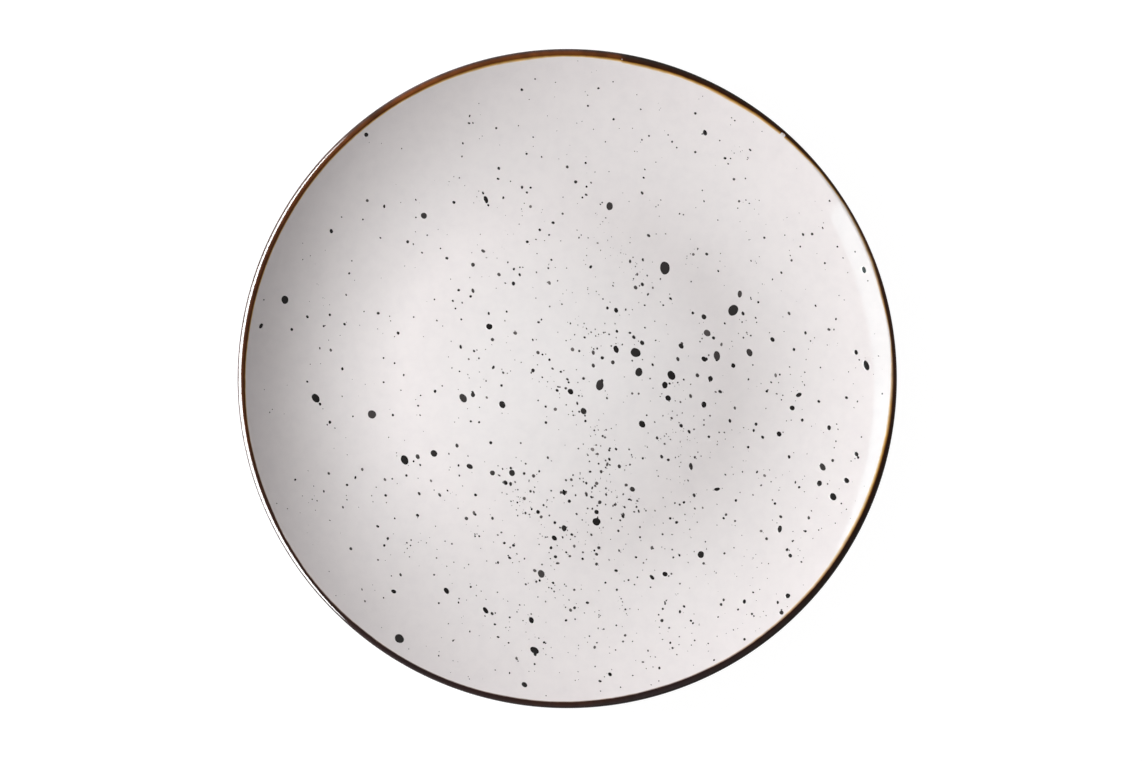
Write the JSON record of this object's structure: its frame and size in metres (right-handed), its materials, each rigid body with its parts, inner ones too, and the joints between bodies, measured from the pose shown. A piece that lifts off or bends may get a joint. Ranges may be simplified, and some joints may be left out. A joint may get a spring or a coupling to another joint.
{
  "type": "coupe dinner plate",
  "caption": "Round stoneware dinner plate of coupe form, with a flat well, a smooth upturned wall, a foot ring, a speckled off-white glaze and a brown banded lip.",
  "frame": {"origin": "middle of the foot ring's bearing face, on the surface the plate stands on", "axes": "+Z up out of the eating face, along the plate's axis; seen from above, +X points right and +Y up in the reference view"},
  "size_m": [0.27, 0.27, 0.027],
  "materials": {
    "clay": "bare fired stoneware, matt",
    "face_glaze": "glossy off-white glaze",
    "spatter": "glossy near-black oxide drops",
    "rim_band": "glossy brown banding glaze that breaks to rust and amber",
    "back_glaze": "glossy off-white glaze"
  },
  "bodies": {
    "root": {"stoneware_body": "clay", "face_glaze": "face_glaze", "spatter_drops": "spatter", "rim_band": "rim_band", "back_glaze": "back_glaze", "foot_well_glaze": "back_glaze"}
  },
  "joints": []
}
